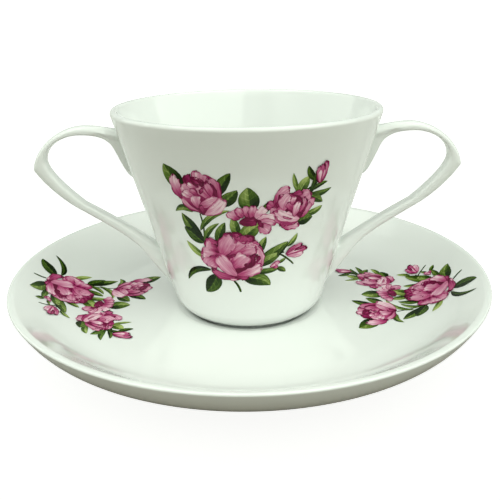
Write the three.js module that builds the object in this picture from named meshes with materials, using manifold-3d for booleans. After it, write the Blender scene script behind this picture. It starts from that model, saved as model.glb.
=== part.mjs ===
// A two-handled porcelain cup standing in the well of its coupe saucer.
// Millimetres, +Z up. The origin is on the table, under the middle of the saucer's foot ring.
// The handles lie along X and the front of the cup faces -Y.
import * as THREE from 'three';
import { mergeVertices } from 'three/addons/utils/BufferGeometryUtils.js';
import Module from 'manifold-3d';

const wasm = await Module();
wasm.setup();

// Saucer
const saucerRimRadius = 80;
const saucerRimHeight = 19.9;
const saucerWall = 4.2;
const saucerLip = 2;
const rimLean = 16.6;        // degrees that the upturned rim leans out from the vertical
const rimUpturn = 7;         // length of the upturned part of the dish, along its slope
const dishFlatness = 0.46;   // share of the dish's width that stays nearly level
const dishFall = 0.05;       // share of its height that this level part climbs
const wellPlay = 1;          // between the cup's wall line and the rim of the well
const wellSideWidth = 3.7;
const wellDepth = 3.2;
const wellFloorThickness = 2.8;
const saucerFootRadius = 49.5;
const saucerFootWidth = 3.4;
const saucerFootRecess = 1.7;

// Cup bowl
const cupRimRadius = 42.9;
const cupHeight = 70.2;
const wallLean = 15.25;      // degrees that the conical wall leans out from the vertical
const cupWall = 2.9;
const cupLip = 2.2;
const cupFloor = 3;
const heelRadius = 7;        // rounded heel between the wall and the underside
const innerHeelRadius = 8;
const footPlay = 2.7;        // between the cup's foot ring and the side of the well
const cupFootWidth = 2.2;
const cupFootHeight = 1.3;

// Handles
const handleReach = 32.7;    // from the bowl's wall to the pointed corner
const handleTopDrop = 5.8;   // from the rim down to the crown of the handle
const handleFootRise = 7.6;  // from the cup's foot up to the end of the lower tongue
const crownDepth = 3.1;
const cornerDepth = 6.3;
const armDepth = 3.5;
const strapWidth = 5;
const rootWidth = 7.6;
const luteGap = 0.3;         // slip joint left open between a handle and the wall

const roundSteps = 72;
const glaze = { color: 0xe6ede2, roughness: 0.12, metalness: 0 };

const radians = THREE.MathUtils.degToRad;
const point = (x, y) => new THREE.Vector2(x, y);
const along = (start, direction, distance) => start.clone().addScaledVector(direction, distance);

function arc(centre, radius, fromAngle, toAngle, steps) {
  const points = [];
  for (let i = 0; i <= steps; i += 1) {
    const angle = THREE.MathUtils.lerp(fromAngle, toAngle, i / steps);
    points.push(point(centre.x + radius * Math.cos(angle), centre.y + radius * Math.sin(angle)));
  }
  return points;
}

// Height at which a profile that runs outwards passes a radius.
function heightAt(profile, radius) {
  for (let i = 1; i < profile.length; i += 1) {
    const [near, far] = [profile[i - 1], profile[i]];
    if (radius <= far.x) return THREE.MathUtils.mapLinear(radius, near.x, far.x, near.y, far.y);
  }
  return profile[profile.length - 1].y;
}

// One closed body: shared vertices are merged and the slivers on the axis are left out.
function closedBody(geometry) {
  geometry.deleteAttribute('normal');
  geometry.deleteAttribute('uv');
  const merged = mergeVertices(geometry, 1e-4);
  const corners = merged.index.array;
  const kept = [];
  for (let i = 0; i < corners.length; i += 3) {
    const [a, b, c] = [corners[i], corners[i + 1], corners[i + 2]];
    if (a !== b && b !== c && c !== a) kept.push(a, b, c);
  }
  merged.setIndex(kept);
  merged.computeVertexNormals();
  return merged;
}

// A profile of (radius, height) points that runs anticlockwise, turned about Z.
function revolve(profile) {
  return closedBody(new THREE.LatheGeometry(profile, roundSteps).rotateX(Math.PI / 2));
}

function toSolid(geometry) {
  const vertProperties = geometry.attributes.position.array;
  const triVerts = Uint32Array.from(geometry.index.array);
  return new wasm.Manifold(new wasm.Mesh({ numProp: 3, vertProperties, triVerts }));
}

function toGeometry(solid) {
  const mesh = solid.getMesh();
  const geometry = new THREE.BufferGeometry();
  geometry.setAttribute('position', new THREE.BufferAttribute(mesh.vertProperties, 3));
  geometry.setIndex(new THREE.BufferAttribute(mesh.triVerts, 1));
  geometry.computeVertexNormals();
  return geometry;
}

// The cup's wall, a cone whose top carries a rounded lip. Heights are above the cup's foot.
const lean = radians(wallLean);
const outward = point(Math.cos(lean), -Math.sin(lean));
const cupLipCentre = point(cupRimRadius - cupLip / 2, cupHeight - cupLip / 2);
const wallTop = along(cupLipCentre, outward, cupLip / 2);

function wallRadius(height) {
  return wallTop.x - (wallTop.y - height) * Math.tan(lean);
}

// Saucer: a well for the cup, a shallow dish that turns up at the rim, and a foot ring.
const wellFloorHeight = saucerFootRecess + wellFloorThickness;
const wellRim = point(wallRadius(wellDepth) + wellPlay, wellFloorHeight + wellDepth);
const wellFloorRadius = wellRim.x - wellSideWidth;
const cupFootRadius = wellFloorRadius - footPlay;

function dishCurve() {
  const rimAngle = radians(rimLean);
  const across = point(Math.cos(rimAngle), -Math.sin(rimAngle));
  const upRim = point(Math.sin(rimAngle), Math.cos(rimAngle));
  const lipCentre = point(saucerRimRadius - saucerLip / 2, saucerRimHeight - saucerLip / 2);
  const end = along(lipCentre, across, -saucerLip / 2);
  const span = end.x - wellRim.x;
  const rise = end.y - wellRim.y;
  const levelPull = point(wellRim.x + dishFlatness * span, wellRim.y + dishFall * rise);
  const curve = new THREE.CubicBezierCurve(wellRim, levelPull, along(end, upRim, -rimUpturn), end);
  return { curve, lipCentre, rimAngle };
}

function saucerProfile() {
  const { curve, lipCentre, rimAngle } = dishCurve();
  const dishSteps = 14;
  const thinning = 4;          // the body keeps its thickness and thins only near the rim
  const dish = [];
  const underside = [];
  for (let i = 0; i <= dishSteps; i += 1) {
    const u = i / dishSteps;
    const top = curve.getPoint(u);
    const slope = curve.getTangent(u);
    const thickness = THREE.MathUtils.lerp(saucerWall, saucerLip, u ** thinning);
    dish.push(top);
    underside.push(point(top.x + slope.y * thickness, top.y - slope.x * thickness));
  }

  const footOuter = saucerFootRadius;
  const footInner = saucerFootRadius - saucerFootWidth;
  const footEdge = 0.5;        // the glaze is wiped off this rounded edge
  const footFillet = 0.8;
  const outerTop = heightAt(underside, footOuter);
  const innerTop = heightAt(underside, footInner);
  const recess = new THREE.QuadraticBezierCurve(
    point(0, saucerFootRecess),
    point(wellRim.x, saucerFootRecess),
    point(footInner - footFillet, innerTop),
  ).getPoints(5);
  const foot = [
    point(footInner, innerTop - footFillet),
    point(footInner, footEdge),
    point(footInner + footEdge, 0),
    point(footOuter - footEdge, 0),
    point(footOuter, footEdge),
    point(footOuter, outerTop - footFillet),
  ];
  const outside = underside.filter((p) => p.x > footOuter + 2 * footFillet);
  const lip = arc(lipCentre, saucerLip / 2, -rimAngle, Math.PI - rimAngle, 6).slice(1, -1);

  const floorEdge = point(wellFloorRadius, wellFloorHeight);
  const shoulderPull = point(-0.3 * wellSideWidth, -0.1 * wellDepth);
  const floorPull = point(0.45 * wellSideWidth, 0);
  const wellSide = new THREE.CubicBezierCurve(
    wellRim,
    wellRim.clone().add(shoulderPull),
    floorEdge.clone().add(floorPull),
    floorEdge,
  ).getPoints(6);
  return [
    ...recess,
    ...foot,
    ...outside,
    ...lip,
    ...dish.reverse(),
    ...wellSide.slice(1),
    point(0, wellFloorHeight),
  ];
}

// Cup bowl: the cone with a rounded heel, a low foot ring and a rounded lip.

// The bowl's outside from the heel up to the lip, moved outwards by a clearance.
function bowlOutside(clearance, startRadius) {
  const centreHeight = cupFootHeight + heelRadius;
  const centre = point(wallRadius(centreHeight) - heelRadius / Math.cos(lean), centreHeight);
  const radius = heelRadius + clearance;
  const startAngle = -Math.acos(THREE.MathUtils.clamp((startRadius - centre.x) / radius, 0, 1));
  return [...arc(centre, radius, startAngle, -lean, 7), along(wallTop, outward, clearance)];
}

function bowlInside() {
  const top = along(cupLipCentre, outward, -cupLip / 2);
  const deep = along(point(wallRadius(cupFloor), cupFloor), outward, -cupWall);
  const innerLean = Math.atan2(top.x - deep.x, top.y - deep.y);
  const floorTop = cupFootHeight + cupFloor;
  const centreHeight = floorTop + innerHeelRadius;
  const wallThere = THREE.MathUtils.mapLinear(centreHeight, deep.y, top.y, deep.x, top.x);
  const centre = point(wallThere - innerHeelRadius / Math.cos(innerLean), centreHeight);
  return [top, ...arc(centre, innerHeelRadius, -innerLean, -Math.PI / 2, 8), point(0, floorTop)];
}

function bowlProfile() {
  const footEdge = 0.4;
  const footInner = cupFootRadius - cupFootWidth;
  const foot = [
    point(0, cupFootHeight),
    point(footInner - footEdge, cupFootHeight),
    point(footInner, cupFootHeight - footEdge),
    point(footInner + footEdge, 0),
    point(cupFootRadius - footEdge, 0),
    point(cupFootRadius, footEdge),
  ];
  const lip = arc(cupLipCentre, cupLip / 2, -lean, Math.PI - lean, 8).slice(1, -1);
  return [...foot, ...bowlOutside(0, cupFootRadius + footEdge / 2), ...lip, ...bowlInside()];
}

// Handle: a strap between two outlines. A point of an outline is drawn as a share of the reach
// out from the bowl's wall and a share of the height up from the end of the lower tongue.
const handleHeight = cupHeight - handleTopDrop - handleFootRise;
const drawn = (outShare, upShare) => point(outShare * handleReach, upShare * handleHeight);
const cornerAcross = point(-0.87, 0.49);
const armAcross = point(-0.39, 0.92);
const plumb = point(-Math.tan(lean), 1);      // straight up, since the wall leans away

function outlines() {
  const crown = drawn(0.324, 1);
  const corner = drawn(1, 0.746);
  const arm = drawn(0.652, 0.491);
  const heel = drawn(0.097, 0.127);
  const outer = [
    [drawn(-0.055, 0.97), drawn(0.091, 0.982), drawn(0.203, 1), crown],
    [crown, drawn(0.582, 1), drawn(0.903, 0.879), corner],
    [corner, drawn(0.936, 0.639), drawn(0.785, 0.54), arm],
    [arm, drawn(0.485, 0.412), drawn(0.17, 0.306), heel],
    [heel, drawn(0.079, 0.081), drawn(0.042, 0.042), drawn(-0.018, 0)],
  ];

  const step = drawn(0.088, 0.736);            // blunt lower end of the upper tongue
  const crownInside = drawn(0.406, 1).sub(point(0, crownDepth));
  const cornerInside = along(corner, cornerAcross, cornerDepth);
  const armInside = along(arm, armAcross, armDepth);
  const beforeCrown = crownInside.clone().sub(drawn(0.248, 0));
  const afterCrown = crownInside.clone().add(drawn(0.173, 0));
  const aboveCorner = along(cornerInside, plumb, 0.083 * handleHeight);
  const belowCorner = along(cornerInside, plumb, -0.072 * handleHeight);
  const inner = [
    [drawn(-0.058, 0.692), drawn(0.058, 0.692), drawn(0.07, 0.699), step],
    [step, drawn(0.103, 0.81), beforeCrown, crownInside],
    [crownInside, afterCrown, aboveCorner, cornerInside],
    [cornerInside, belowCorner, drawn(0.694, 0.607), armInside],
    [armInside, drawn(0.397, 0.467), drawn(0.124, 0.342), drawn(-0.079, 0.227)],
  ];
  return { outer, inner };
}

// The stretches of the two outlines that face each other, with the ribs laid across each.
const stretches = [
  { outer: [0], inner: [0, 1], ribs: 14 },
  { outer: [1], inner: [2], ribs: 12 },
  { outer: [2], inner: [3], ribs: 10 },
  { outer: [3, 4], inner: [4], ribs: 14 },
];

function onBowl(place) {
  const height = handleFootRise + place.y;
  return point(wallRadius(height) + place.x, height);
}

function stretchPoint(pieces, u) {
  const place = Math.min(u * pieces.length, pieces.length - 1e-9);
  const piece = pieces[Math.floor(place)];
  return new THREE.CubicBezierCurve(...piece).getPoint(place - Math.floor(place));
}

function handleRibs() {
  const { outer, inner } = outlines();
  const ribs = [];
  stretches.forEach((stretch, index) => {
    const outerPieces = stretch.outer.map((i) => outer[i]);
    const innerPieces = stretch.inner.map((i) => inner[i]);
    const first = index === 0 ? 0 : 1;
    for (let i = first; i <= stretch.ribs; i += 1) {
      const u = i / stretch.ribs;
      ribs.push({ out: onBowl(stretchPoint(outerPieces, u)), in: onBowl(stretchPoint(innerPieces, u)) });
    }
  });
  return ribs;
}

function handleStrap() {
  const ribs = handleRibs();
  const aroundSteps = 18;
  const squareness = 2.5;      // 2 is an oval strap, more is a squarer one
  const rootShare = 0.24;      // share of the strap's length over which a root narrows
  const positions = [];
  const faces = [];
  const power = (value) => Math.sign(value) * Math.abs(value) ** (2 / squareness);
  ribs.forEach((rib, index) => {
    const u = index / (ribs.length - 1);
    const fromRoot = Math.min(u, 1 - u);
    const narrowing = THREE.MathUtils.smoothstep(fromRoot, 0, rootShare);
    const halfWidth = THREE.MathUtils.lerp(rootWidth, strapWidth, narrowing) / 2;
    const middle = rib.out.clone().add(rib.in).multiplyScalar(0.5);
    const half = rib.out.clone().sub(rib.in).multiplyScalar(0.5);
    for (let j = 0; j < aroundSteps; j += 1) {
      const angle = (j / aroundSteps) * 2 * Math.PI;
      const place = along(middle, half, power(Math.cos(angle)));
      positions.push(place.x, halfWidth * power(Math.sin(angle)), place.y);
    }
  });
  for (let i = 0; i + 1 < ribs.length; i += 1) {
    for (let j = 0; j < aroundSteps; j += 1) {
      const a = i * aroundSteps + j;
      const b = i * aroundSteps + ((j + 1) % aroundSteps);
      faces.push(a, a + aroundSteps, b, b, a + aroundSteps, b + aroundSteps);
    }
  }
  const last = (ribs.length - 1) * aroundSteps;
  for (let j = 1; j + 1 < aroundSteps; j += 1) {
    faces.push(0, j, j + 1, last, last + j + 1, last + j);
  }
  const geometry = new THREE.BufferGeometry();
  geometry.setAttribute('position', new THREE.Float32BufferAttribute(positions, 3));
  geometry.setIndex(faces);
  return geometry;
}

// The strap's two ends are cut to the bowl's wall, less the slip joint.
function handleGeometry() {
  const above = cupHeight + cupWall;
  const wallAbove = point(wallRadius(above) + luteGap / Math.cos(lean), above);
  const wallSide = bowlOutside(luteGap, 0).slice(0, -1);
  const core = revolve([point(0, wallSide[0].y), ...wallSide, wallAbove, point(0, above)]);
  return toGeometry(toSolid(handleStrap()).subtract(toSolid(core)));
}

function porcelain(name, geometry) {
  const mesh = new THREE.Mesh(geometry, new THREE.MeshStandardMaterial(glaze));
  mesh.name = name;
  return mesh;
}

const saucer = porcelain('saucer', revolve(saucerProfile()));

const cup = new THREE.Group();
cup.position.z = wellFloorHeight;
const handle = handleGeometry();
const handleRight = porcelain('handle_right', handle);
const handleLeft = porcelain('handle_left', handle.clone());
handleLeft.rotation.z = Math.PI;
cup.add(porcelain('cup_bowl', revolve(bowlProfile())), handleRight, handleLeft);

const cupAndSaucer = new THREE.Group();
cupAndSaucer.add(saucer, cup);

export default cupAndSaucer;
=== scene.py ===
import math

import bpy
import numpy as np
from mathutils import Matrix, Vector


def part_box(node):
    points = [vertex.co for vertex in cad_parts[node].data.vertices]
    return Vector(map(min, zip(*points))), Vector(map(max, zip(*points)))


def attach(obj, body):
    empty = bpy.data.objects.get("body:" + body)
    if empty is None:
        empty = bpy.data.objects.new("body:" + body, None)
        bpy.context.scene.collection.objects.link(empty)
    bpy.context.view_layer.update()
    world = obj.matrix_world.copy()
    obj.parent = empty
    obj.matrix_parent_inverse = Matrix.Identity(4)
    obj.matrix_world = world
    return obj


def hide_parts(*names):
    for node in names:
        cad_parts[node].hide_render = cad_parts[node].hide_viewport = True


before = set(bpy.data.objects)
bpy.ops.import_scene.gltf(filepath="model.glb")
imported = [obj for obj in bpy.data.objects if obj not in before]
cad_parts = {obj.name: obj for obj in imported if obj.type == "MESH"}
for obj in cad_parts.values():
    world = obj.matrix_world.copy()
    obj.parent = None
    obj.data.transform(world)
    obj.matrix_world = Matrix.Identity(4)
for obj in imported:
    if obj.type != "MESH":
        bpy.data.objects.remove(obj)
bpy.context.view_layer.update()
mm = 0.001
weld = 2e-7          # metres: points closer than this become one
white = (1, 1, 1, 1)


# Node graphs, for materials and for Geometry Nodes

def pickSocket(sockets, key):
    if isinstance(key, int):
        return sockets[key]
    return next(socket for socket in sockets if socket.name == key and socket.enabled)


class Wire:
    # one output socket; maths on it adds the matching node
    def __init__(self, graph, socket):
        self.graph = graph
        self.socket = socket

    def part(self, key):
        return Wire(self.graph, pickSocket(self.socket.node.outputs, key))

    def __add__(self, other):
        return self.graph.maths("ADD", self, other)

    def __radd__(self, other):
        return self.graph.maths("ADD", other, self)

    def __sub__(self, other):
        return self.graph.maths("SUBTRACT", self, other)

    def __rsub__(self, other):
        return self.graph.maths("SUBTRACT", other, self)

    def __mul__(self, other):
        return self.graph.maths("MULTIPLY", self, other)

    def __rmul__(self, other):
        return self.graph.maths("MULTIPLY", other, self)

    def __truediv__(self, other):
        return self.graph.maths("DIVIDE", self, other)

    def __rtruediv__(self, other):
        return self.graph.maths("DIVIDE", other, self)

    def __pow__(self, other):
        return self.graph.maths("POWER", self, other)


class Graph:
    def __init__(self, tree):
        self.tree = tree

    def add(self, kind, settings=None, sockets=None, output=0):
        node = self.tree.nodes.new(kind)
        for name, value in (settings or {}).items():
            if name == "stops":
                self.setStops(node.color_ramp, value)
            else:
                setattr(node, name, value)
        for key, value in (sockets or {}).items():
            target = pickSocket(node.inputs, key)
            if isinstance(value, Wire):
                self.tree.links.new(value.socket, target)
            else:
                target.default_value = value
        return Wire(self, pickSocket(node.outputs, output)) if node.outputs else None

    def setStops(self, ramp, stops):
        while len(ramp.elements) < len(stops):
            ramp.elements.new(1)
        for element, (place, colour) in zip(ramp.elements, stops):
            element.position = place
            element.color = (*colour, 1)

    def isVector(self, side):
        return side.socket.type == "VECTOR" if isinstance(side, Wire) else isinstance(side, Vector)

    def maths(self, operation, left, right):
        vectors = [self.isVector(left), self.isVector(right)]
        if not any(vectors):
            return self.function(operation, left, right)
        if operation == "MULTIPLY" and not all(vectors):
            vector, number = (left, right) if vectors[0] else (right, left)
            return self.add("ShaderNodeVectorMath", {"operation": "SCALE"}, {0: vector, "Scale": number})
        return self.vector(operation, left, right)

    def function(self, operation, *values):
        return self.add("ShaderNodeMath", {"operation": operation}, dict(enumerate(values)))

    def vector(self, operation, *values):
        return self.add("ShaderNodeVectorMath", {"operation": operation}, dict(enumerate(values)))

    def clamp(self, value):
        return self.function("MINIMUM", self.function("MAXIMUM", value, 0.0), 1.0)

    def smooth(self, value, low, high):
        return self.add("ShaderNodeMapRange", {"interpolation_type": "SMOOTHSTEP"},
                        {"Value": value, "From Min": low, "From Max": high})

    def blend(self, factor, first, second):
        return self.add("ShaderNodeMix", {"data_type": "RGBA"},
                        {"Factor": factor, "A": first, "B": second}, "Result")

    def xyz(self, x, y, z):
        return self.add("ShaderNodeCombineXYZ", {}, {"X": x, "Y": y, "Z": z})

    def separate(self, vector):
        return self.add("ShaderNodeSeparateXYZ", {}, {"Vector": vector})

    def noise(self, place, scale, detail):
        return self.add("ShaderNodeTexNoise", {}, {"Vector": place, "Scale": scale, "Detail": detail})

    def painted(self, name):
        # a mesh attribute, read in a material
        return self.add("ShaderNodeAttribute", {"attribute_name": name}, {}, "Fac")

    def held(self, name, kind="FLOAT"):
        # a mesh attribute, read in a geometry tree
        return self.add("GeometryNodeInputNamedAttribute", {"data_type": kind}, {"Name": name}, "Attribute")

    def keep(self, geometry, name, value, kind="FLOAT"):
        return self.add("GeometryNodeStoreNamedAttribute", {"data_type": kind, "domain": "POINT"},
                        {"Geometry": geometry, "Name": name, "Value": value})

    def settle(self, made, finish, name):
        # the last nodes of every geometry tree
        made = self.add("GeometryNodeMergeByDistance", {}, {"Geometry": made, "Distance": weld})
        made = self.add("GeometryNodeSetShadeSmooth", {}, {"Geometry": made, "Shade Smooth": True})
        made = self.add("GeometryNodeRealizeInstances", {}, {"Geometry": made})
        made = self.add("GeometryNodeSetMaterial", {}, {"Geometry": made, "Material": finish})
        self.add("NodeGroupOutput", {}, {name: made})


def linear(red, green, blue):
    # a colour as seen on screen, 0 to 255, to scene light
    levels = [value / 255 for value in (red, green, blue)]
    return tuple(v / 12.92 if v <= 0.04045 else ((v + 0.055) / 1.055) ** 2.4 for v in levels)


# Camera: it stands in front of the cup, a little above it

cameraSetup = {
    "distance": 202.7,
    "height": 102.6,
    "pitch": 20.96,      # looking down
    "yaw": 0.12,
    "roll": -0.87,
    "lens": 45,
    "sensor": 36,
}


def makeCamera(setup):
    pitch, yaw, roll = (math.radians(setup[key]) for key in ("pitch", "yaw", "roll"))
    forward = Vector((math.sin(yaw) * math.cos(pitch), math.cos(yaw) * math.cos(pitch), -math.sin(pitch)))
    level = forward.cross(Vector((0, 0, 1))).normalized()
    upright = level.cross(forward)
    right = level * math.cos(roll) + upright * math.sin(roll)
    up = upright * math.cos(roll) - level * math.sin(roll)
    data = bpy.data.cameras.new("camera")
    data.lens = setup["lens"]
    data.sensor_width = setup["sensor"]
    data.clip_start = 0.01
    item = bpy.data.objects.new("camera", data)
    turn = Matrix((right, up, -forward)).transposed().to_4x4()
    place = Vector((0, -setup["distance"] * mm, setup["height"] * mm))
    item.matrix_world = Matrix.Translation(place) @ turn
    bpy.context.scene.collection.objects.link(item)
    bpy.context.scene.camera = item


makeCamera(cameraSetup)
print("stage: camera")


# Finishes

glazeFinish = {
    "colour": (0.833, 0.845, 0.83),
    "thickColour": (0.67, 0.74, 0.69),        # where the glaze pools it is deeper and greener
    "bareColour": linear(226, 222, 210),      # biscuit, where the glaze was wiped off
    "pooled": 0.7,                            # how much of the deep colour a hollow gets,
    "even": 0.05,                             # how much there is of it everywhere,
    "drift": 0.16,                            # and how much that drifts from place to place
    "driftScale": 28.0,                       # patches to the metre
    "roughness": 0.06,
    "roughnessDrift": 0.03,
    "bareRoughness": 0.62,
    "refraction": 1.5,
    "bodyGloss": 0.2,
    "coatWeight": 0.8,
    "coatRoughness": 0.1,
    "dimpleSize": 5.0,
    "dimpleDepth": 0.010,
    "grainSize": 0.35,
    "grainDepth": 0.02,
}


def newMaterial(name):
    material = bpy.data.materials.new(name)
    material.use_nodes = True
    tree = material.node_tree
    tree.nodes.clear()
    return material, Graph(tree)


def finishSurface(graph, sockets):
    surface = graph.add("ShaderNodeBsdfPrincipled", {}, sockets)
    graph.add("ShaderNodeOutputMaterial", {}, {"Surface": surface})


def makeGlaze(finish):
    material, graph = newMaterial("glazedPorcelain")
    place = graph.add("ShaderNodeTexCoord", {}, {}, "Object")
    pool, bare = graph.painted("pool"), graph.painted("bare")
    drift = graph.noise(place, finish["driftScale"], 2.0)
    dimples = graph.noise(place, 1 / (finish["dimpleSize"] * mm), 1.0)
    grain = graph.noise(place, 1 / (finish["grainSize"] * mm), 3.0)
    thick = graph.clamp(pool * finish["pooled"] + (drift - 0.5) * finish["drift"] + finish["even"])
    glazed = graph.blend(thick, (*finish["colour"], 1), (*finish["thickColour"], 1))
    colour = graph.blend(bare, glazed, (*finish["bareColour"], 1))
    roughness = finish["roughness"] + drift * finish["roughnessDrift"] + bare * finish["bareRoughness"]
    height = dimples * (1 - bare) * finish["dimpleDepth"] + grain * bare * finish["grainDepth"]
    bump = graph.add("ShaderNodeBump", {}, {"Height": height, "Distance": mm, "Strength": 1.0})
    finishSurface(graph, {
        "Base Color": colour,
        "Roughness": roughness,
        "IOR": finish["refraction"],
        "Specular IOR Level": finish["bodyGloss"],
        "Coat Weight": (1 - bare) * finish["coatWeight"],
        "Coat Roughness": finish["coatRoughness"],
        "Coat IOR": finish["refraction"],
        "Normal": bump,
    })
    return material


glaze = makeGlaze(glazeFinish)


# Profiles are lists of (radius, height) that run anticlockwise, from the axis back to the axis

def curve(points, steps):
    # a Bezier curve through its first and last point, pulled by the ones between
    layer = [np.array(point, float) for point in points]
    shares = np.linspace(0, 1, steps + 1)[:, None]
    layer = [point[None, :] + 0 * shares for point in layer]
    while len(layer) > 1:
        layer = [a + (b - a) * shares for a, b in zip(layer, layer[1:])]
    return layer[0]


def arc(centre, radius, fromAngle, toAngle, steps):
    angles = np.linspace(fromAngle, toAngle, steps + 1)
    return np.array(centre) + radius * np.stack([np.cos(angles), np.sin(angles)], 1)


def rounded(corners, steps=8):
    # a polyline whose corners (x, y, radius) become arcs
    points = [np.array(corner[:2], float) for corner in corners]
    path = [points[0]]
    for before, corner, after in zip(corners, corners[1:], corners[2:]):
        tip = np.array(corner[:2], float)
        inward, outward = np.array(before[:2]) - tip, np.array(after[:2]) - tip
        inward, outward = inward / np.linalg.norm(inward), outward / np.linalg.norm(outward)
        half = math.acos(np.clip(inward @ outward, -1, 1)) / 2
        reach = corner[2] / math.tan(half)
        path.extend(curve([tip + inward * reach, tip, tip + outward * reach], steps))
    path.append(points[-1])
    return np.array(path)


def filled(path, step=1.6):
    # extra points along the long stretches
    points = [path[0]]
    for start, end in zip(path, path[1:]):
        count = max(1, math.ceil(np.linalg.norm(end - start) / step))
        points.extend(start + (end - start) * share for share in np.linspace(0, 1, count + 1)[1:])
    return np.array(points)


def hollowness(path):
    # how sharply the profile bends inwards, which is where glaze pools
    steps = np.diff(path, axis=0)
    lengths = np.linalg.norm(steps, axis=1)
    angles = np.unwrap(np.arctan2(steps[:, 1], steps[:, 0]))
    bend = np.zeros(len(path))
    bend[1:-1] = -np.diff(angles) / (0.5 * (lengths[1:] + lengths[:-1]))
    places = np.concatenate([[0], np.cumsum(lengths)])
    spread, sharpest, gain = 1.2, 0.6, 2.2
    near = np.exp(-((places[:, None] - places[None, :]) / spread) ** 2)
    return np.clip((near @ np.clip(bend, 0, sharpest)) / near.sum(1) * gain, 0, 1)


def newTree(name, inputs, result):
    # inputs are what each is called and its kind of socket; the first is what the tree starts from
    tree = bpy.data.node_groups.new(name, "GeometryNodeTree")
    for label, kind in inputs.items():
        tree.interface.new_socket(name=label, in_out="INPUT", socket_type="NodeSocket" + kind)
    tree.interface.new_socket(name=result, in_out="OUTPUT", socket_type="NodeSocketGeometry")
    graph = Graph(tree)
    return graph, graph.add("NodeGroupInput")


def turnTree():
    # a wheel: the profile's points are laid out round the axis
    graph, given = newTree("turnProfile", {"Profile": "Geometry", "Steps": "Int", "Finish": "Material"},
                           "Ware")
    steps = given.part("Steps")
    count = graph.add("GeometryNodeAttributeDomainSize", {"component": "MESH"},
                      {"Geometry": given}, "Point Count")
    rows = steps + 1
    grid = graph.add("GeometryNodeMeshGrid", {}, {"Vertices X": count, "Vertices Y": rows}, "Mesh")
    index = graph.add("GeometryNodeInputIndex")
    station = graph.function("FLOOR", (index + 0.5) / rows)
    turn = (index - station * rows) / steps * (2 * math.pi)

    def fromProfile(kind, value):
        return graph.add("GeometryNodeSampleIndex", {"data_type": kind, "domain": "POINT"},
                         {"Geometry": given, "Value": value, "Index": station})

    spot = graph.separate(fromProfile("FLOAT_VECTOR", graph.add("GeometryNodeInputPosition")))
    radius, height = spot.part("X"), spot.part("Z")
    sine, cosine = graph.function("SINE", turn), graph.function("COSINE", turn)
    made = grid
    for name in ("pool", "bare"):
        made = graph.keep(made, name, fromProfile("FLOAT", graph.held(name)))
    made = graph.add("GeometryNodeSetPosition", {},
                     {"Geometry": made, "Position": graph.xyz(radius * cosine, radius * sine, height)})
    made = graph.add("GeometryNodeFlipFaces", {}, {"Mesh": made})
    graph.settle(made, given.part("Finish"), "Ware")
    return graph.tree


def addObject(name, mesh):
    item = bpy.data.objects.new(name, mesh)
    bpy.context.scene.collection.objects.link(item)
    return item


def applyTree(item, tree, inputs):
    # runs a tree on an object and keeps the result as its plain mesh
    modifier = item.modifiers.new("build", "NODES")
    modifier.node_group = tree
    for socket in tree.interface.items_tree:
        if socket.name in inputs:
            modifier[socket.identifier] = inputs[socket.name]
    bpy.context.view_layer.update()
    seen = bpy.context.evaluated_depsgraph_get()
    mesh = bpy.data.meshes.new_from_object(item.evaluated_get(seen), preserve_all_data_layers=True,
                                           depsgraph=seen)
    item.modifiers.remove(modifier)
    if mesh.materials[0] is None:
        mesh.materials.pop(index=0)
    mesh.name = item.name
    item.data = mesh
    return item


def storeValues(mesh, name, values):
    # one number or one vector for each point
    values = np.asarray(values, float)
    kind, key = ("FLOAT_VECTOR", "vector") if values.ndim == 2 else ("FLOAT", "value")
    mesh.attributes.new(name, kind, "POINT").data.foreach_set(key, values.ravel())


def turnWare(name, path, bare, finish, sizes):
    mesh = bpy.data.meshes.new(name)
    points = [(radius * mm, 0, height * mm) for radius, height in path]
    mesh.from_pydata(points, [(i, i + 1) for i in range(len(points) - 1)], [])
    storeValues(mesh, "pool", hollowness(path) * sizes["pooling"])
    storeValues(mesh, "bare", bare)
    item = addObject(name, mesh)
    return applyTree(item, wheel, {"Steps": sizes["steps"], "Finish": finish})


wheel = turnTree()
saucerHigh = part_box("saucer")[1]
cupLow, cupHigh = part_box("cup_bowl")
wellFloorHeight = cupLow.z / mm


# Cup bowl

cupSizes = {
    "rimRadius": cupHigh.x / mm,
    "height": (cupHigh.z - cupLow.z) / mm,
    "wallLean": 15.25,
    "wall": 2.9,
    "lip": 2.2,
    "floor": 3.0,
    "heel": 8.4,
    "innerHeel": 8.0,
    "footRadius": 19.57,
    "footWidth": 2.2,
    "footHeight": 1.3,
    "footRound": 0.45,           # the foot's lower edges
    "footDraft": (0.3, 0.1),     # how far its inner and its outer face lean
    "footHollow": 0.6,           # the corner inside it
    "heelHollow": 0.5,           # the corner between it and the heel
    "heelCorner": (0.15, 0.2),   # where that corner is, from the foot's upper outer edge,
    "heelFlat": (1.2, 0.25),     # where the flat beside it ends
    "heelStart": 1.6,            # and where the heel's arc starts
    "unglazed": 0.14,            # the foot has no glaze up to this height
    "pooling": 1.0,
    "steps": 288,
}
lean = math.radians(cupSizes["wallLean"])
outward = np.array([math.cos(lean), -math.sin(lean)])
cupLipCentre = np.array([cupSizes["rimRadius"], cupSizes["height"]]) - cupSizes["lip"] / 2
wallTop = cupLipCentre + outward * cupSizes["lip"] / 2


def wallRadius(height):
    return wallTop[0] - (wallTop[1] - height) * math.tan(lean)


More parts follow.
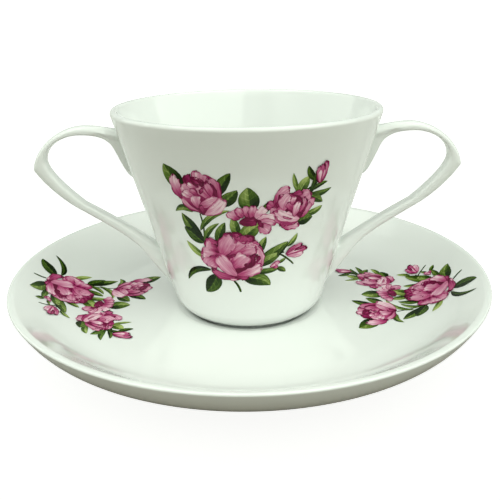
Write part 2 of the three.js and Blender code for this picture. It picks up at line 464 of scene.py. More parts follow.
def bowlProfile(sizes):
    footOuter = sizes["footRadius"]
    footInner = footOuter - sizes["footWidth"]
    footHeight, footRound = sizes["footHeight"], sizes["footRound"]
    innerDraft, outerDraft = sizes["footDraft"]
    footTop = np.array([footOuter, footHeight])
    foot = rounded([(0, footHeight, 0), (footInner, footHeight, sizes["footHollow"]),
                    (footInner + innerDraft, 0, footRound), (footOuter - outerDraft, 0, footRound),
                    (*(footTop + sizes["heelCorner"]), sizes["heelHollow"]),
                    (*(footTop + sizes["heelFlat"]), 0)])
    heel = sizes["heel"]
    heelHeight = footHeight + heel
    heelCentre = (wallRadius(heelHeight) - heel / math.cos(lean), heelHeight)
    startAngle = -math.acos(np.clip((footOuter + sizes["heelStart"] - heelCentre[0]) / heel, 0, 1))
    outside = arc(heelCentre, heel, startAngle, -lean, 26)
    lip = arc(cupLipCentre, sizes["lip"] / 2, -lean, math.pi - lean, 16)
    innerTop = cupLipCentre - outward * sizes["lip"] / 2
    deep = np.array([wallRadius(sizes["floor"]), sizes["floor"]]) - outward * sizes["wall"]
    innerLean = math.atan2(innerTop[0] - deep[0], innerTop[1] - deep[1])
    floorTop = footHeight + sizes["floor"]
    centreHeight = floorTop + sizes["innerHeel"]
    wallThere = np.interp(centreHeight, [deep[1], innerTop[1]], [deep[0], innerTop[0]])
    innerCentre = (wallThere - sizes["innerHeel"] / math.cos(innerLean), centreHeight)
    inside = arc(innerCentre, sizes["innerHeel"], -innerLean, -math.pi / 2, 24)
    path = np.vstack([foot, outside, lip, inside, [(0, floorTop)]])
    return filled(path)


cupPath = bowlProfile(cupSizes)
cupBare = (cupPath[:, 1] < cupSizes["unglazed"]) & (cupPath[:, 0] > 1)
cupPath = cupPath + [0, wellFloorHeight]
cupBowl = turnWare("cupBowl", cupPath, cupBare, glaze, cupSizes)
print("stage: cup bowl")


# Saucer

saucerSizes = {
    "rimRadius": saucerHigh.x / mm,
    "rimHeight": saucerHigh.z / mm,
    "wellPlay": 1.1,             # room round the cup at the well's rim
    "wellSide": 5.6,
    "wellDepth": 2.8,
    "wellCone": (0.62, 0.34),    # shares of side and depth: a gentle cone under the cup's heel,
    "wellStep": (0.08, 0.58),    # then a short steep step beside the cup's foot
    "level": 7.1,                # height of the dish round the well
    "levelEnds": (12.0, 10.0),   # how far it keeps level beside the well and before the climb
    "climbRound": 34.0,          # radius of the curve in which it starts to climb
    "climbSlope": 38.0,          # how steep it runs on from there, up to the lip
    "wall": 4.4,
    "lipWidth": 1.7,
    "lipRound": 0.55,            # rounding of the lip's outer edge
    "lipLow": 25.0,              # that rounding starts this far below the level
    "rimRoll": 0.9,              # length over which the climb rolls over into the lip
    "rollPull": 0.6,             # how full that roll is
    "footRadius": 49.5,
    "footWidth": 3.4,
    "footRecess": 1.7,
    "footRound": 0.6,            # the foot's lower edges
    "footHollows": (0.9, 1.2),   # the corners inside and outside it
    "footEnds": (1.4, 2.5),      # how far in and out these are drawn
    "unglazed": 0.22,            # the foot has no glaze up to this height
    "pooling": 0.3,              # little glaze gathers at the edge of the well
    "steps": 336,
}
climbAngle = math.radians(saucerSizes["climbSlope"])
climbUp = np.array([math.cos(climbAngle), math.sin(climbAngle)])
saucerCorner = np.array([saucerSizes["rimRadius"] - saucerSizes["lipWidth"], saucerSizes["rimHeight"]])
climbRise = saucerSizes["climbRound"] * (1 - math.cos(climbAngle))
straightRise = saucerSizes["rimHeight"] - saucerSizes["level"] - climbRise
straightFoot = saucerCorner - climbUp * straightRise / climbUp[1]
climbFoot = straightFoot - [saucerSizes["climbRound"] * climbUp[1], climbRise]


def dishLine(sizes, wellRim):
    # from the well's rim to where the climb runs straight
    nearWell, nearClimb = sizes["levelEnds"]
    level = curve([wellRim, wellRim + [nearWell, 0], climbFoot - [nearClimb, 0], climbFoot], 24)
    centre = climbFoot + [0, sizes["climbRound"]]
    climb = arc(centre, sizes["climbRound"], -math.pi / 2, climbAngle - math.pi / 2, 40)
    return np.vstack([level[:-1], climb])


def footLine(sizes, wellRim, underside):
    # from the axis, across the recess and round the foot ring
    footOuter, footRound = sizes["footRadius"], sizes["footRound"]
    footInner = footOuter - sizes["footWidth"]
    start, end = footInner - sizes["footEnds"][0], footOuter + sizes["footEnds"][1]
    innerTop, outerTop, endTop = np.interp([footInner, footOuter, end], *underside.T)
    innerHollow, outerHollow = sizes["footHollows"]
    recess = curve([(0, sizes["footRecess"]), (wellRim[0], sizes["footRecess"]), (start, innerTop)], 30)
    foot = rounded([recess[-1], (footInner, innerTop, innerHollow), (footInner, 0, footRound),
                    (footOuter, 0, footRound), (footOuter, outerTop, outerHollow), (end, endTop, 0)])
    return np.vstack([recess[:-1], foot])


def lipLine(sizes, wallEnd):
    # from the end of the outer wall, over the lip and down to the straight climb
    lipRound, lipLow = sizes["lipRound"], math.radians(sizes["lipLow"])
    edgeCentre = np.array([sizes["rimRadius"], sizes["rimHeight"]]) - lipRound
    edge = arc(edgeCentre, lipRound, -lipLow, math.pi / 2, 12)
    upEdge = np.array([math.sin(lipLow), math.cos(lipLow)])
    third = np.linalg.norm(edge[0] - wallEnd) / 3
    shoulder = curve([wallEnd, wallEnd + climbUp * third, edge[0] - upEdge * third, edge[0]], 20)
    rollStart = saucerCorner - climbUp * sizes["rimRoll"]
    rollPull = sizes["rollPull"] * sizes["rimRoll"]
    roll = curve([edge[-1], saucerCorner + [sizes["rimRoll"] - rollPull, 0],
                  rollStart + climbUp * rollPull, rollStart], 16)
    return np.vstack([shoulder[1:], edge[1:], roll[1:]])


def saucerProfile(sizes):
    well = np.array([sizes["wellSide"], sizes["wellDepth"]])
    wellRim = np.array([wallRadius(well[1]) + sizes["wellPlay"], wellFloorHeight + well[1]])
    floorEdge = wellRim - well
    wellSide = curve([wellRim, wellRim - well * sizes["wellCone"], floorEdge + well * sizes["wellStep"],
                      floorEdge], 24)
    dish = dishLine(sizes, wellRim)
    slope = np.gradient(dish, axis=0)
    slope /= np.linalg.norm(slope, axis=1)[:, None]
    underside = dish + np.stack([slope[:, 1], -slope[:, 0]], 1) * sizes["wall"]
    foot = footLine(sizes, wellRim, underside)
    outside = underside[underside[:, 0] > foot[-1, 0] + 0.1]
    lip = lipLine(sizes, outside[-1])
    path = np.vstack([foot, outside, lip, dish[::-1], wellSide[1:], [(0, wellFloorHeight)]])
    return filled(path)


saucerPath = saucerProfile(saucerSizes)
saucerBare = (saucerPath[:, 1] < saucerSizes["unglazed"]) & (saucerPath[:, 0] > 1)
saucerDish = turnWare("saucerDish", saucerPath, saucerBare, glaze, saucerSizes)
print("stage: saucer")


# Handles: one strap between two outlines, used on both sides

handleSizes = {
    "reach": 32.7,
    "topDrop": 5.8,
    "footRise": 7.6,
    "crownDepth": 3.1,
    "cornerDepth": 6.3,
    "armDepth": 3.5,
    "strapWidth": 5.0,
    "rootWidth": 7.6,
    "squareness": 2.5,
    "flatInside": 0.3,     # how far the strap's widest part lies towards its inner face
    "rootShare": 0.24,
    "webShare": 0.27,      # this far along, a thinner web hangs below the crown down to the tongue
    "webEnd": 0.05,        # length over which it ends, as a share of the strap's
    "webStart": 0.75,      # it starts this far down, in crown depths
    "webWaist": 0.36,      # how much thinner it is
    "webFillet": 1.8,
    "fillet": 1.5,         # where the strap meets the wall
    "pooling": 0.5,
    "aroundSteps": 72,
    "ribs": (64, 56, 44, 70),   # rings of points along each stretch
}


def strapOutlines(sizes):
    # each row is one curve, drawn in shares of the handle's reach and height
    tall = sizes["tall"]

    def drawn(outShare, upShare):
        return np.array([outShare * sizes["reach"], upShare * tall])

    plumb = np.array([-math.tan(lean), 1.0])
    crown, corner, arm, heel = drawn(0.324, 1), drawn(1, 0.746), drawn(0.652, 0.491), drawn(0.097, 0.127)
    step = drawn(0.066, 0.728)
    crownInside = drawn(0.406, 1) - [0, sizes["crownDepth"]]
    cornerInside = corner + sizes["cornerDepth"] * np.array([-0.87, 0.49])
    armInside = arm + sizes["armDepth"] * np.array([-0.39, 0.92])
    outer = [
        [drawn(-0.055, 0.97), drawn(0.091, 0.982), drawn(0.203, 1), crown],
        [crown, drawn(0.582, 1), drawn(0.903, 0.879), corner],
        [corner, drawn(0.936, 0.639), drawn(0.785, 0.54), arm],
        [arm, drawn(0.485, 0.412), drawn(0.17, 0.306), heel],
        [heel, drawn(0.079, 0.081), drawn(0.042, 0.042), drawn(-0.018, 0)],
    ]
    inner = [
        [drawn(-0.058, 0.686), drawn(0.016, 0.686), drawn(0.05, 0.696), step],
        [step, drawn(0.067, 0.90), crownInside - drawn(0.248, 0), crownInside],
        [crownInside, crownInside + drawn(0.173, 0), cornerInside + plumb * 0.083 * tall, cornerInside],
        [cornerInside, cornerInside - plumb * 0.072 * tall, drawn(0.694, 0.607), armInside],
        [armInside, drawn(0.397, 0.467), drawn(0.124, 0.342), drawn(-0.079, 0.227)],
    ]
    return outer, inner


def chain(pieces, count):
    # points at even shares along several curves laid end to end
    fine = 400
    paths = [curve(piece, fine) for piece in pieces]
    places = np.linspace(0, len(pieces), count + 1)
    points = []
    for place in places:
        number = min(int(place), len(pieces) - 1)
        spot = (place - number) * fine
        low = min(int(spot), fine - 1)
        points.append(paths[number][low] + (paths[number][low + 1] - paths[number][low]) * (spot - low))
    return np.array(points)


def eased(share):
    share = np.clip(share, 0, 1)
    return share ** 2 * (3 - 2 * share)


def strapSurface(sizes):
    # rings of points (out along X, across Y, up Z) in the cup's own heights
    sizes = dict(sizes, tall=cupSizes["height"] - sizes["topDrop"] - sizes["footRise"])
    outer, inner = strapOutlines(sizes)
    pairs = [(outer[:1], inner[:2]), (outer[1:2], inner[2:3]), (outer[2:3], inner[3:4]),
             (outer[3:], inner[4:])]
    outLine, inLine = [], []
    for number, ((outPieces, inPieces), ribs) in enumerate(zip(pairs, sizes["ribs"])):
        start = 1 if number else 0
        outLine.append(chain(outPieces, ribs)[start:])
        inLine.append(chain(inPieces, ribs)[start:])
    outLine, inLine = np.vstack(outLine), np.vstack(inLine)
    for line in (outLine, inLine):
        line[:, 1] += sizes["footRise"]
        line[:, 0] += wallRadius(line[:, 1])
    middle, half = (outLine + inLine) / 2, (outLine - inLine) / 2
    shares = np.linspace(0, 1, len(middle))
    narrowing = eased(np.minimum(shares, 1 - shares) / sizes["rootShare"])
    width = sizes["rootWidth"] + (sizes["strapWidth"] - sizes["rootWidth"]) * narrowing
    angles = np.linspace(0, 2 * math.pi, sizes["aroundSteps"], endpoint=False)
    power = 2 / sizes["squareness"]
    side = np.sign(np.cos(angles)) * np.abs(np.cos(angles)) ** power
    across = np.sign(np.sin(angles)) * np.abs(np.sin(angles)) ** power
    side -= sizes["flatInside"] * (1 - side ** 2)
    rings = np.zeros((len(middle), len(angles), 3))
    rings[:, :, 0] = middle[:, None, 0] + half[:, None, 0] * side
    rings[:, :, 2] = middle[:, None, 1] + half[:, None, 1] * side
    depth = np.linalg.norm(half, axis=1)[:, None] * (1 - side)
    web = eased((depth - sizes["webStart"] * sizes["crownDepth"]) / sizes["webFillet"])
    web *= np.clip((sizes["webShare"] - shares) / sizes["webEnd"], 0, 1)[:, None]
    rings[:, :, 1] = width[:, None] / 2 * across * (1 - sizes["webWaist"] * web)
    return rings


def meetWall(rings, fillet):
    # spreads the strap where it comes close to the wall, so that it runs into it in a hollow curve
    along = np.gradient(rings, axis=0)
    around = (np.roll(rings, -1, 1) - np.roll(rings, 1, 1)) / 2
    normal = np.cross(along, around)
    normal /= np.linalg.norm(normal, axis=2)[:, :, None] + 1e-9
    centre = rings.mean(1, keepdims=True)
    facing = np.sign((normal * (rings - centre)).sum(2))[:, :, None]
    normal *= np.sign(facing.sum())
    radial = np.hypot(rings[:, :, 0], rings[:, :, 1])
    gap = (radial - wallRadius(rings[:, :, 2])) * math.cos(lean)
    wallNormal = np.dstack([rings[:, :, :2] / radial[:, :, None] * math.cos(lean),
                            np.full(radial.shape, -math.sin(lean))])
    slide = normal - wallNormal * (normal * wallNormal).sum(2)[:, :, None]
    near = np.clip(gap / fillet, 0, 1)
    push = fillet * (1 - np.sqrt(1 - (1 - near) ** 2))
    return rings + slide * push[:, :, None], np.clip(1 - gap / (2 * fillet), 0, 1)


def strapMesh(name, rings, pool, turned):
    sign = -1 if turned else 1
    points = rings.reshape(-1, 3) * [sign * mm, sign * mm, mm] + [0, 0, cupLow.z]
    rows, count = rings.shape[:2]
    faces = []
    for row in range(rows - 1):
        for i in range(count):
            a, b = row * count + i, row * count + (i + 1) % count
            faces.append((a, a + count, b + count, b))
    faces.append(tuple(range(count)))
    faces.append(tuple(reversed(range((rows - 1) * count, rows * count))))
    mesh = bpy.data.meshes.new(name)
    mesh.from_pydata(points.tolist(), [], faces)
    mesh.polygons.foreach_set("use_smooth", [True] * len(faces))
    storeValues(mesh, "pool", pool.ravel() * handleSizes["pooling"])
    storeValues(mesh, "bare", np.zeros(len(points)))
    mesh.materials.append(glaze)
    return addObject(name, mesh)


strapRings, strapPool = meetWall(strapSurface(handleSizes), handleSizes["fillet"])
handleRight = strapMesh("handleRight", strapRings, strapPool, False)
handleLeft = strapMesh("handleLeft", strapRings, strapPool, True)
print("stage: handles")

for piece, body, node in ((cupBowl, "cup", "cup_bowl"), (handleRight, "cup", "handle_right"),
                          (handleLeft, "cup", "handle_left"), (saucerDish, "saucer", "saucer")):
    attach(piece, body)
    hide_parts(node)


# Rose sprays: one printed transfer, laid on the cup and on the saucer.
# Its layout is drawn flat, X to the right and Y up, from the middle of the spray.
# A leaf or petal is (base x, base y, tip x, tip y, width, bow, tone at the base, tone at the tip);
# bow bends it to the left as seen from its base, tones run from 0, deep, to 1, pale.

leafLayout = [
    # behind the roses
    (-17.6, 19.6, -24.2, 26.0, 5.4, 0.9, 0.05, 0.50),
    (-8.4, 17.0, -4.1, 24.4, 3.6, 0.3, 0.05, 0.35),
    (-7.8, 14.4, -2.3, 19.2, 4.0, -0.5, 0.10, 0.45),
    (-15.6, 11.3, -21.7, 10.6, 2.2, -1.5, 0.35, 0.55),
    (-13.2, 1.6, -19.4, 10.4, 4.0, 0.3, 0.05, 0.40),
    (-12.8, 0.8, -19.0, 5.6, 4.2, -0.2, 0.00, 0.26),
    (-12.4, -4.6, -18.8, 0.7, 2.3, 0.5, 0.55, 0.95),
    (-13.6, 5.2, -4.6, 12.6, 2.0, 1.6, 0.35, 0.85),
    (-12.4, 1.0, -7.7, 8.2, 1.9, 1.2, 0.25, 0.60),
    (-8.6, 1.6, -6.1, 8.6, 2.8, 0.2, 0.15, 0.45),
    (1.5, 12.4, 0.5, 20.0, 6.0, 0.2, 0.15, 0.60),
    (4.4, 11.4, 6.5, 15.4, 2.3, -0.2, 0.05, 0.25),
    (-2.6, 4.0, -3.9, 10.4, 3.0, 0.0, 0.30, 0.70),
    (-1.2, 3.0, 4.2, 8.0, 4.8, 0.6, 0.35, 0.80),
    (15.0, 17.6, 13.3, 23.8, 1.5, 0.3, 0.45, 0.80),
    (15.2, 17.2, 18.2, 22.2, 3.4, 0.2, 0.35, 0.85),
    (17.4, 16.4, 26.4, 17.2, 2.0, -0.7, 0.15, 0.45),
    (17.8, 16.6, 23.4, 13.0, 2.8, 0.2, 0.15, 0.45),
    (17.6, 10.0, 23.4, 11.8, 2.2, -0.6, 0.35, 0.75),
    (14.6, 7.4, 20.0, 8.6, 3.8, 0.3, 0.10, 0.40),
    (-11.0, -9.0, -19.9, -14.8, 2.3, -2.2, 0.00, 0.20),
    (-9.2, -10.2, -13.2, -17.9, 5.0, 0.6, 0.05, 0.25),
    (-1.6, -11.0, 7.0, -14.4, 5.2, 1.1, 0.15, 0.50),
    (1.8, -9.0, 9.6, -8.4, 2.2, -0.2, 0.15, 0.50),
    (3.4, -2.4, 5.7, 3.6, 2.4, 0.2, 0.25, 0.65),
    (3.4, -5.0, 12.4, 1.2, 3.4, -0.2, 0.12, 0.55),
    (3.4, -6.8, 10.2, -2.6, 3.2, 0.2, 0.22, 0.72),
    (9.6, -6.4, 11.8, -4.8, 1.2, 0.1, 0.30, 0.60),
    (9.0, -8.0, 11.8, -9.9, 1.8, 0.2, 0.20, 0.55),
    (12.0, -0.6, 15.2, 3.7, 1.7, -0.4, 0.35, 0.85),
    (20.4, 20.8, 17.8, 25.5, 2.2, 0.5, 0.05, 0.30),
    (18.4, 16.2, 20.9, 24.4, 1.7, -0.4, 0.00, 0.25),
    (19.4, 17.6, 24.6, 19.6, 1.5, 0.5, 0.10, 0.40),
    (9.0, -3.8, 12.6, 0.8, 1.6, 0.3, 0.05, 0.30),
]

stemLayout = [
    (-13.4, 11.0, -12.8, 0.2, 0.55, 0.6, 0.20, 0.30),
    (-12.9, 2.0, -7.0, -2.0, 0.6, 0.4, 0.10, 0.20),
    (15.4, 17.2, 21.6, 20.8, 0.6, -0.5, 0.05, 0.20),
    (-4.0, -12.4, -2.0, -16.8, 0.75, 0.3, 0.00, 0.25),
    (7.6, -1.6, 14.4, -7.6, 0.6, 0.5, 0.05, 0.20),
    (8.4, -2.9, 11.2, -2.6, 0.6, 0.1, 0.05, 0.20),
]

# petals of each flower, from the flower's own centre, in the order in which they are printed
flowerLayout = {
    "upperRose": {"centre": (-13.1, 17.9), "petals": [
        (-5.2, -2.6, -7.9, 4.9, 3.6, 0.9, 0.22, 0.88),
        (0.4, 1.2, 3.4, 5.0, 4.6, -0.2, 0.50, 0.80),
        (0.4, 5.6, 0.4, -6.4, 11.4, 0.0, 0.08, 0.22),
        (5.8, -2.4, 3.2, 4.9, 3.3, -0.5, 0.20, 0.66),
        (0.9, 1.4, -0.2, 6.6, 4.4, 0.1, 0.40, 0.78),
        (-4.4, 2.6, 1.2, 2.6, 3.0, 1.0, 0.00, 0.10),
        (-3.9, 1.6, -2.7, 5.6, 2.8, 0.2, 0.04, 0.20),
        (-2.4, 4.4, 0.2, 2.6, 1.1, 0.1, 0.14, 0.34),
        (4.9, -2.0, 3.4, 3.2, 1.7, -0.2, 0.02, 0.14),
        (3.6, -1.0, 1.9, 3.4, 2.3, -0.2, 0.40, 0.68),
        (0.2, -5.9, -5.2, -0.9, 4.2, 0.7, 0.06, 0.36),
        (-1.8, -1.0, -5.6, 1.9, 3.4, 0.2, 0.45, 0.84),
        (-0.6, 1.2, -3.6, 2.7, 2.0, 0.1, 0.42, 0.92),
        (3.4, -2.2, -0.5, 1.9, 2.6, 0.1, 0.38, 0.74),
        (-0.5, -0.7, -2.6, 1.1, 1.8, 0.1, 0.25, 0.72),
        (-1.4, -1.6, -5.2, 0.0, 2.8, 0.2, 0.52, 0.90),
        (0.3, -0.4, 1.2, 1.4, 1.2, 0.2, 0.10, 0.45),
        (-0.1, -6.2, -5.9, -2.2, 1.6, 0.7, 0.40, 0.80),
        (-0.2, -5.0, -1.6, -0.9, 3.5, 0.2, 0.45, 0.88),
        (-0.4, -4.3, 5.8, -1.4, 3.3, -0.3, 0.48, 0.84),
        (2.2, -4.6, 5.4, -2.6, 0.8, -0.3, 0.10, 0.24),
        (1.2, -7.0, 7.1, -1.9, 3.4, -0.6, 0.72, 1.00),
        (1.2, -6.8, 0.2, -4.0, 1.8, 0.1, 0.14, 0.34),
    ]},
    "sideRose": {"centre": (12.8, 12.5), "deeper": 0.03, "petals": [
        (-3.0, 0.6, -6.8, 2.5, 3.0, 0.1, 0.22, 0.50),
        (-4.0, 0.4, -0.6, 6.5, 4.3, 1.0, 0.24, 0.80),
        (-2.4, -4.2, -5.2, 1.2, 2.8, 0.6, 0.30, 0.74),
        (-3.1, -4.4, 2.4, -5.7, 3.0, -0.6, 0.30, 0.86),
        (2.2, -4.6, -5.0, -0.6, 3.0, 1.8, 0.16, 0.60),
        (0.8, -4.4, 1.2, 5.3, 10.2, 0.0, 0.04, 0.20),
        (1.4, 1.6, 6.0, 4.3, 4.6, 0.3, 0.26, 0.76),
        (4.2, -1.6, 6.4, 2.6, 2.6, -0.5, 0.40, 0.80),
        (-0.2, 3.0, 3.4, 4.9, 2.2, 0.5, 0.10, 0.40),
        (2.6, -3.4, 5.9, 1.4, 2.2, -0.6, 0.45, 0.80),
        (2.4, -2.8, 5.0, 2.2, 1.6, -0.4, 0.10, 0.40),
        (2.6, -1.7, 4.2, 3.1, 2.0, -0.3, 0.35, 0.74),
        (-2.2, -0.6, -0.2, 4.6, 3.9, 0.7, 0.60, 0.88),
        (-0.2, 3.9, 3.4, 0.7, 1.7, 0.9, 0.00, 0.10),
        (0.6, -0.9, -0.8, 2.2, 2.4, 0.1, 0.20, 0.64),
        (0.3, 1.2, 0.9, 3.8, 1.9, 0.1, 0.45, 0.92),
        (0.2, -1.8, 3.7, -2.3, 1.7, -0.4, 0.00, 0.10),
        (2.8, -3.7, -4.2, -0.4, 3.9, 0.8, 0.86, 0.94),
        (0.6, -3.4, -2.4, -2.2, 0.8, 0.3, 0.50, 0.70),
        (1.1, -2.9, 2.4, 1.9, 2.3, 0.2, 0.56, 0.98),
    ]},
    "openFlower": {"centre": (0.9, 9.8), "petals": [
        (-2.5, 0.3, -5.7, 2.5, 3.2, 0.2, 0.32, 0.82),
        (-1.9, 0.5, -3.0, 3.9, 2.6, 0.1, 0.32, 0.74),
        (-0.4, 0.2, -1.0, 4.4, 2.3, 0.0, 0.28, 0.78),
        (0.4, 0.2, 1.2, 4.3, 2.6, 0.0, 0.28, 0.78),
        (1.7, 0.2, 4.5, 3.6, 3.0, 0.2, 0.80, 1.00),
        (2.1, -0.2, 7.2, 0.5, 3.0, 0.2, 0.78, 0.96),
        (2.3, -0.7, 7.3, -1.5, 2.5, 0.1, 0.60, 0.80),
        (2.9, -1.2, 5.7, -4.6, 3.5, -0.2, 0.42, 0.78),
        (-2.9, -1.2, 2.1, -0.6, 3.3, 0.1, 0.00, 0.10),
        (-0.6, -0.6, 1.4, -0.2, 0.6, 0.1, 0.35, 0.60),
        (2.0, -0.1, 3.5, -2.8, 1.4, 0.3, 0.00, 0.10),
    ]},
    "largeRose": {"centre": (-3.9, -3.8), "deeper": 0.08, "petals": [
        (-3.2, 1.6, -7.8, 6.2, 5.0, 0.2, 0.14, 0.46),
        (-3.2, 1.0, -9.4, 1.3, 8.8, 0.2, 0.12, 0.92),
        (-4.0, -0.4, -8.0, -3.6, 4.9, -0.3, 0.20, 0.86),
        (4.1, -6.0, -6.6, -4.9, 3.0, 1.7, 0.12, 0.56),
        (1.4, -7.6, 1.4, 8.6, 12.8, 0.0, 0.06, 0.24),
        (0.2, 1.4, -0.4, 8.8, 6.4, 0.0, 0.16, 0.40),
        (1.4, 1.6, 3.6, 8.2, 6.2, -0.2, 0.16, 0.42),
        (3.3, 1.4, 7.9, 4.9, 6.2, 0.2, 0.18, 0.56),
        (-0.7, 2.5, 7.2, 4.0, 2.2, 1.6, 0.36, 0.90),
        (6.0, -5.4, 6.5, 4.2, 3.2, -1.4, 0.52, 0.92),
        (0.6, -5.2, 6.6, 1.2, 5.6, 0.0, 0.00, 0.16),
        (3.8, -3.8, 4.4, 1.4, 1.1, -0.2, 0.14, 0.44),
        (5.2, -3.0, 5.6, 1.0, 0.8, -0.3, 0.10, 0.34),
        (-2.7, 0.5, 3.5, 5.4, 3.6, 0.4, 0.12, 0.82),
        (-3.3, 0.6, -0.3, 7.8, 5.2, 0.3, 0.52, 0.84),
        (0.7, 1.4, 7.0, 3.2, 3.4, 0.2, 0.42, 0.88),
        (-0.7, -5.0, 0.6, 0.5, 3.0, 0.1, 0.20, 0.62),
        (-0.9, -4.0, 4.0, 1.0, 4.6, 0.2, 0.36, 0.90),
        (0.6, -6.6, 4.4, -7.0, 2.2, -0.1, 0.18, 0.44),
        (0.9, -6.1, 7.9, -2.8, 3.4, -0.8, 0.50, 0.94),
        (0.9, -6.6, -4.5, 0.7, 4.4, 0.4, 0.64, 0.90),
        (1.0, -7.7, -1.2, -7.8, 0.9, 0.3, 0.90, 1.00),
    ]},
    "upperBud": {"centre": (21.9, 22.6), "petals": [
        (-0.4, -3.0, -0.8, 2.3, 1.8, 0.2, 0.30, 0.55),
        (-0.2, -3.0, 1.7, 3.4, 2.1, -0.3, 0.36, 0.66),
        (-0.2, -2.8, 0.6, 2.8, 1.9, 0.0, 0.22, 0.50),
        (-0.2, -2.8, -0.2, 1.3, 1.5, 0.2, 0.76, 0.98),
        (0.0, -2.6, 1.2, 1.3, 1.0, -0.2, 0.50, 0.86),
    ]},
    "sideBud": {"centre": (14.8, -2.7), "petals": [
        (-3.2, -0.7, 2.1, 2.2, 2.0, 0.4, 0.30, 0.55),
        (-3.0, -0.9, 3.7, 0.5, 2.5, 0.2, 0.36, 0.50),
        (-2.8, -1.1, 2.6, -1.1, 1.8, -0.3, 0.60, 0.94),
        (-2.8, -0.7, 1.6, 0.4, 1.2, 0.2, 0.66, 0.98),
        (-0.5, 0.2, 3.3, 1.2, 1.0, 0.2, 0.16, 0.40),
    ]},
    "smallBud": {"centre": (8.4, -7.0), "petals": [
        (-1.2, -0.6, 1.2, 1.2, 1.5, 0.2, 0.50, 0.85),
        (-0.6, -1.0, 0.8, -0.2, 1.2, 0.0, 0.30, 0.60),
        (-1.6, -0.4, 0.2, 0.4, 1.0, 0.1, 0.65, 0.95),
    ]},
}

printSizes = {
    "lift": 0.02,          # the colour layer over the glaze
    "layer": 0.0022,       # each leaf or petal lies this much over the one before
    "rowsAlong": 15,
    "rowsAcross": 11,
    "fray": 1.2,           # how far a frilled petal's tip comes and goes
    "gloss": 0.35,         # the fired colours shine less than the glaze
    "roughness": 0.4,
    "toneRange": (0.05, 0.85),
}

# unevenness of a leaf or petal: how fast it changes along it and across it, how far apart two of
# them are in each direction, its scale and its detail
mottles = {
    "ripple": (1.6, 1.1, 3.1, 1.0, 2.6, 1.0),
    "brush": (1.4, 5.5, 7.3, 2.1, 1.0, 3.0),
    "wash": (2.2, 1.6, 3.7, 1.0, 1.0, 1.0),
}

# where the sprays lie: (shift to the right, shift up, tilt, turn about the ware's axis)
spraySpots = {
    "wallMiddle": 34.0,    # height of the spray's middle over the cup's foot
    "dishMiddle": 60.0,    # distance of the spray's middle from the saucer's
    "wallRays": 60.0,      # the rays that find the ware's surface start this far out,
    "dishRays": 50.0,      # or this high up,
    "rayLength": 100.0,    # and are this long
    "cup": [(-0.6, 0.0, 0.0, 0.0), (-0.6, 0.0, 0.0, 180.0)],
    "saucer": [(3.4, -1.7, -4.3, 0.0), (0.0, -0.1, 1.8, 180.0)],
}


def laidOut(patches, spots):
    # the patches of the flat layout at each spot, with their number and turn
    rows = []
    for right, up, tilt, turn in spots:
        sine, cosine = math.sin(math.radians(tilt)), math.cos(math.radians(tilt))
        for number, patch in enumerate(patches):
            ends = []
            for x, y in (patch[0:2], patch[2:4]):
                ends += [x * cosine - y * sine + right, x * sine + y * cosine + up]
            rows.append((*ends, *patch[4:], number, math.radians(turn)))
    return np.array(rows)


def sprayPoints(name, kind, spots, firstLayer):
    # one point for each leaf or petal, holding its place and sizes
    low, high = kind["shape"]
    fullest = low / (low + high)
    peak = fullest ** low * (1 - fullest) ** high
    rows = laidOut(kind["patches"], spots)
    baseX, baseY, tipX, tipY, width, bow, toneBase, toneTip, number, turn = rows.T
    level = np.zeros(len(rows))
    values = {
        "base": np.column_stack([baseX, baseY, level]) * mm,
        "tip": np.column_stack([tipX, tipY, level]) * mm,
        "spread": width / 2 / peak * mm,
        "bow": bow * mm,
        "toneBase": toneBase,
        "toneTip": toneTip,
        "low": level + low,
        "high": level + high,
        "frilled": level + kind["frilled"],
        "layer": number + firstLayer,
        "seed": number,
        "turn": turn,
    }
    mesh = bpy.data.meshes.new(name)
    mesh.from_pydata([(0, 0, 0)] * len(rows), [], [])
    for label, value in values.items():
        storeValues(mesh, label, value)
    return mesh


def mottle(graph, name, along, across, seed):
    # noise round 0 that differs from leaf to leaf
    fastAlong, fastAcross, apartAlong, apartUp, scale, detail = mottles[name]
    place = graph.xyz(along * fastAlong + seed * apartAlong, across * fastAcross, seed * apartUp)
    return graph.noise(place, scale, detail) - 0.5


def aroundCup(graph, flat):
    # the spray's middle stands at its height of the wall; rays run level towards the axis
    spot = graph.separate(flat)
    height = spot.part("Y") * math.cos(lean) + (spraySpots["wallMiddle"] + wellFloorHeight) * mm
    radius = (height - wellFloorHeight * mm) * math.tan(lean) + wallRadius(0) * mm
    angle = spot.part("X") / radius
    sine, cosine = graph.function("SINE", angle), graph.function("COSINE", angle)
    far = spraySpots["wallRays"] * mm
    return graph.xyz(sine * far, cosine * -far, height), graph.xyz(sine * -1.0, cosine, 0.0)


def overDish(graph, flat):
    # rays fall straight down; the spray's top points at the saucer's middle, and its length is
    # measured along the climb
    spot = graph.separate(flat)
    out = spraySpots["dishMiddle"] * mm - spot.part("Y")
    climbing = graph.function("MAXIMUM", out - climbFoot[0] * mm, 0.0)
    climbRound = saucerSizes["climbRound"] * mm
    curved = graph.function("MINIMUM", climbing, climbRound * climbAngle)
    straight = climbing - curved
    out = out - climbing + graph.function("SINE", curved / climbRound) * climbRound + straight * climbUp[0]
    above = spraySpots["dishRays"] * mm
    return graph.xyz(out * -1.0, spot.part("X") * -1.0, above), graph.xyz(0.0, 0.0, -1.0)


